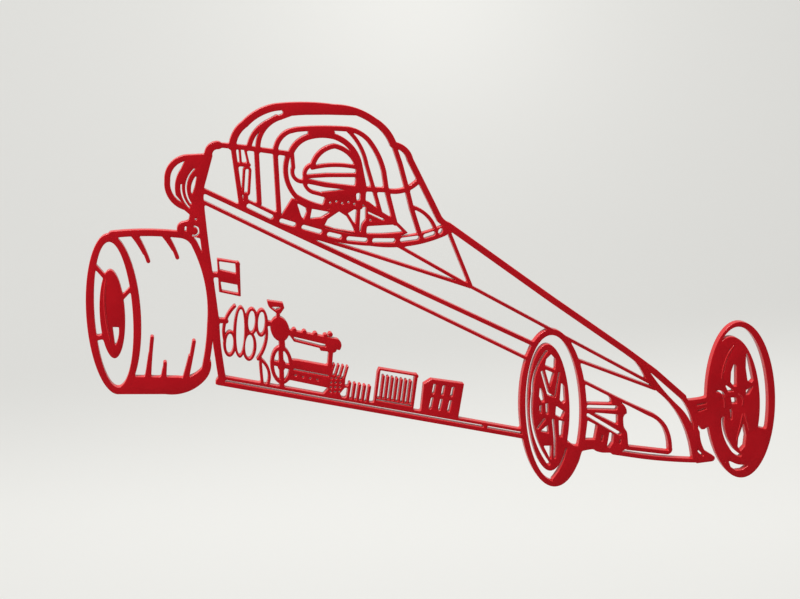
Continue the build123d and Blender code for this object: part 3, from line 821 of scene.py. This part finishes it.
def makeSweep(look):
    # profile carried along x: floor line, quarter circle, wall line
    angle = np.linspace(0, math.pi / 2, look["coveSteps"])
    y = look["wall"] - look["cove"] + look["cove"] * np.sin(angle)
    z = look["floor"] + look["cove"] - look["cove"] * np.cos(angle)
    y = np.concatenate(([look["front"]], y, [look["wall"]]))
    z = np.concatenate(([look["floor"]], z, [look["top"]]))
    x = np.linspace(-look["halfWidth"], look["halfWidth"], look["widthSteps"])
    grid = np.stack(np.broadcast_arrays(x[:, None], y[None], z[None]), 2)
    here = np.arange(len(x) - 1)[:, None] * len(y) + np.arange(len(y) - 1)
    quads = np.stack((here, here + len(y), here + len(y) + 1, here + 1), 2).reshape(-1, 4)
    mesh = bpy.data.meshes.new("sweep")
    mesh.from_pydata(grid.reshape(-1, 3), [], quads.tolist())
    mesh.polygons.foreach_set("use_smooth", np.ones(len(quads), bool))
    sweep = addObject("sweep", mesh)
    return sweep


def seenRays(w):
    # 1 on rays from the camera and on reflected or transmitted ones, so that gloss shows the backdrop too
    kinds = ("Is Camera Ray", "Is Glossy Ray", "Is Transmission Ray")
    camera, glossy, through = [w.make("ShaderNodeLightPath", {}, {}, kind) for kind in kinds]
    return (camera + glossy + through).held()


def paleSweep(look):
    material, w = startMaterial("paleSweep")
    x, y, z = w.make("ShaderNodeTexCoord", {}, {}, "Object").parts()
    # painted pool of light on the wall, brightest at its centre
    across = (x - look["glowAt"][0]) / look["glowReach"][0]
    upward = (z - look["glowAt"][1]) / look["glowReach"][1]
    paintedGlow = 1 / (1 + across * across + upward * upward)
    height = z - (x - look["glowAt"][0]) * look["slope"]
    ground = 1 - height.eased(look["floor"], look["floor"] + look["cove"] * look["groundRise"])
    # painted pool of light across the floor in front of the cove
    inward = (y - look["bandAt"]) / look["bandReach"]
    paintedLightBand = ground * look["paintedLightBand"] / (1 + inward * inward)
    tone = look["wallTone"] + paintedGlow * look["paintedGlow"] + ground * (look["floorTone"] - look["wallTone"]) + paintedLightBand
    red, green, blue = look["warmth"]
    colour = w.make("ShaderNodeCombineXYZ", {}, {0: tone * red, 1: tone * green, 2: tone * blue})
    light = w.make("ShaderNodeEmission", {}, {"Color": colour, "Strength": 1.0})
    cloth = w.make("ShaderNodeBsdfDiffuse", {}, {"Color": look["cloth"]})
    shader = w.make("ShaderNodeMixShader", {}, {0: seenRays(w) * look["own"], 1: cloth, 2: light})
    w.make("ShaderNodeOutputMaterial", {}, {"Surface": shader})
    return material


sweep = makeSweep(stageSettings)
sweep.data.materials.append(paleSweep(stageSettings))


# light: one large soft lamp from above on the left, a weak fill from the front, and a pale room

lampSettings = {
    "aim": (0.0, 0.0, 0.05),
    "lamps": [
        # name, place, side, watts
        ("keyLamp", (-0.9, -0.72, 1.55), 0.9, 44.0),
        ("fillLamp", (-0.5, -1.8, 1.6), 1.2, 1.5),
    ],
}
roomSettings = {
    "colour": (1, 1, 0.98, 1),
    "seen": 0.74,
    "fill": 0.24,
}


def makeLamp(name, place, side, watts, aim):
    data = bpy.data.lights.new(name, "AREA")
    data.size = side
    data.energy = watts
    lamp = addObject(name, data)
    lamp.location = place
    lamp.rotation_euler = (Vector(aim) - Vector(place)).to_track_quat("-Z", "Y").to_euler()


def makeRoom(look):
    world = bpy.data.worlds.new("paleRoom")
    world.use_nodes = True
    world.node_tree.nodes.clear()
    w = Wire(world.node_tree)
    strength = look["fill"] + seenRays(w) * (look["seen"] - look["fill"])
    shader = w.make("ShaderNodeBackground", {}, {"Color": look["colour"], "Strength": strength})
    w.make("ShaderNodeOutputWorld", {}, {"Surface": shader})
    bpy.context.scene.world = world


for lampName, lampPlace, lampSide, lampWatts in lampSettings["lamps"]:
    makeLamp(lampName, lampPlace, lampSide, lampWatts, lampSettings["aim"])
makeRoom(roomSettings)
bpy.context.scene.view_settings.view_transform = "Standard"
print("stage and light set")
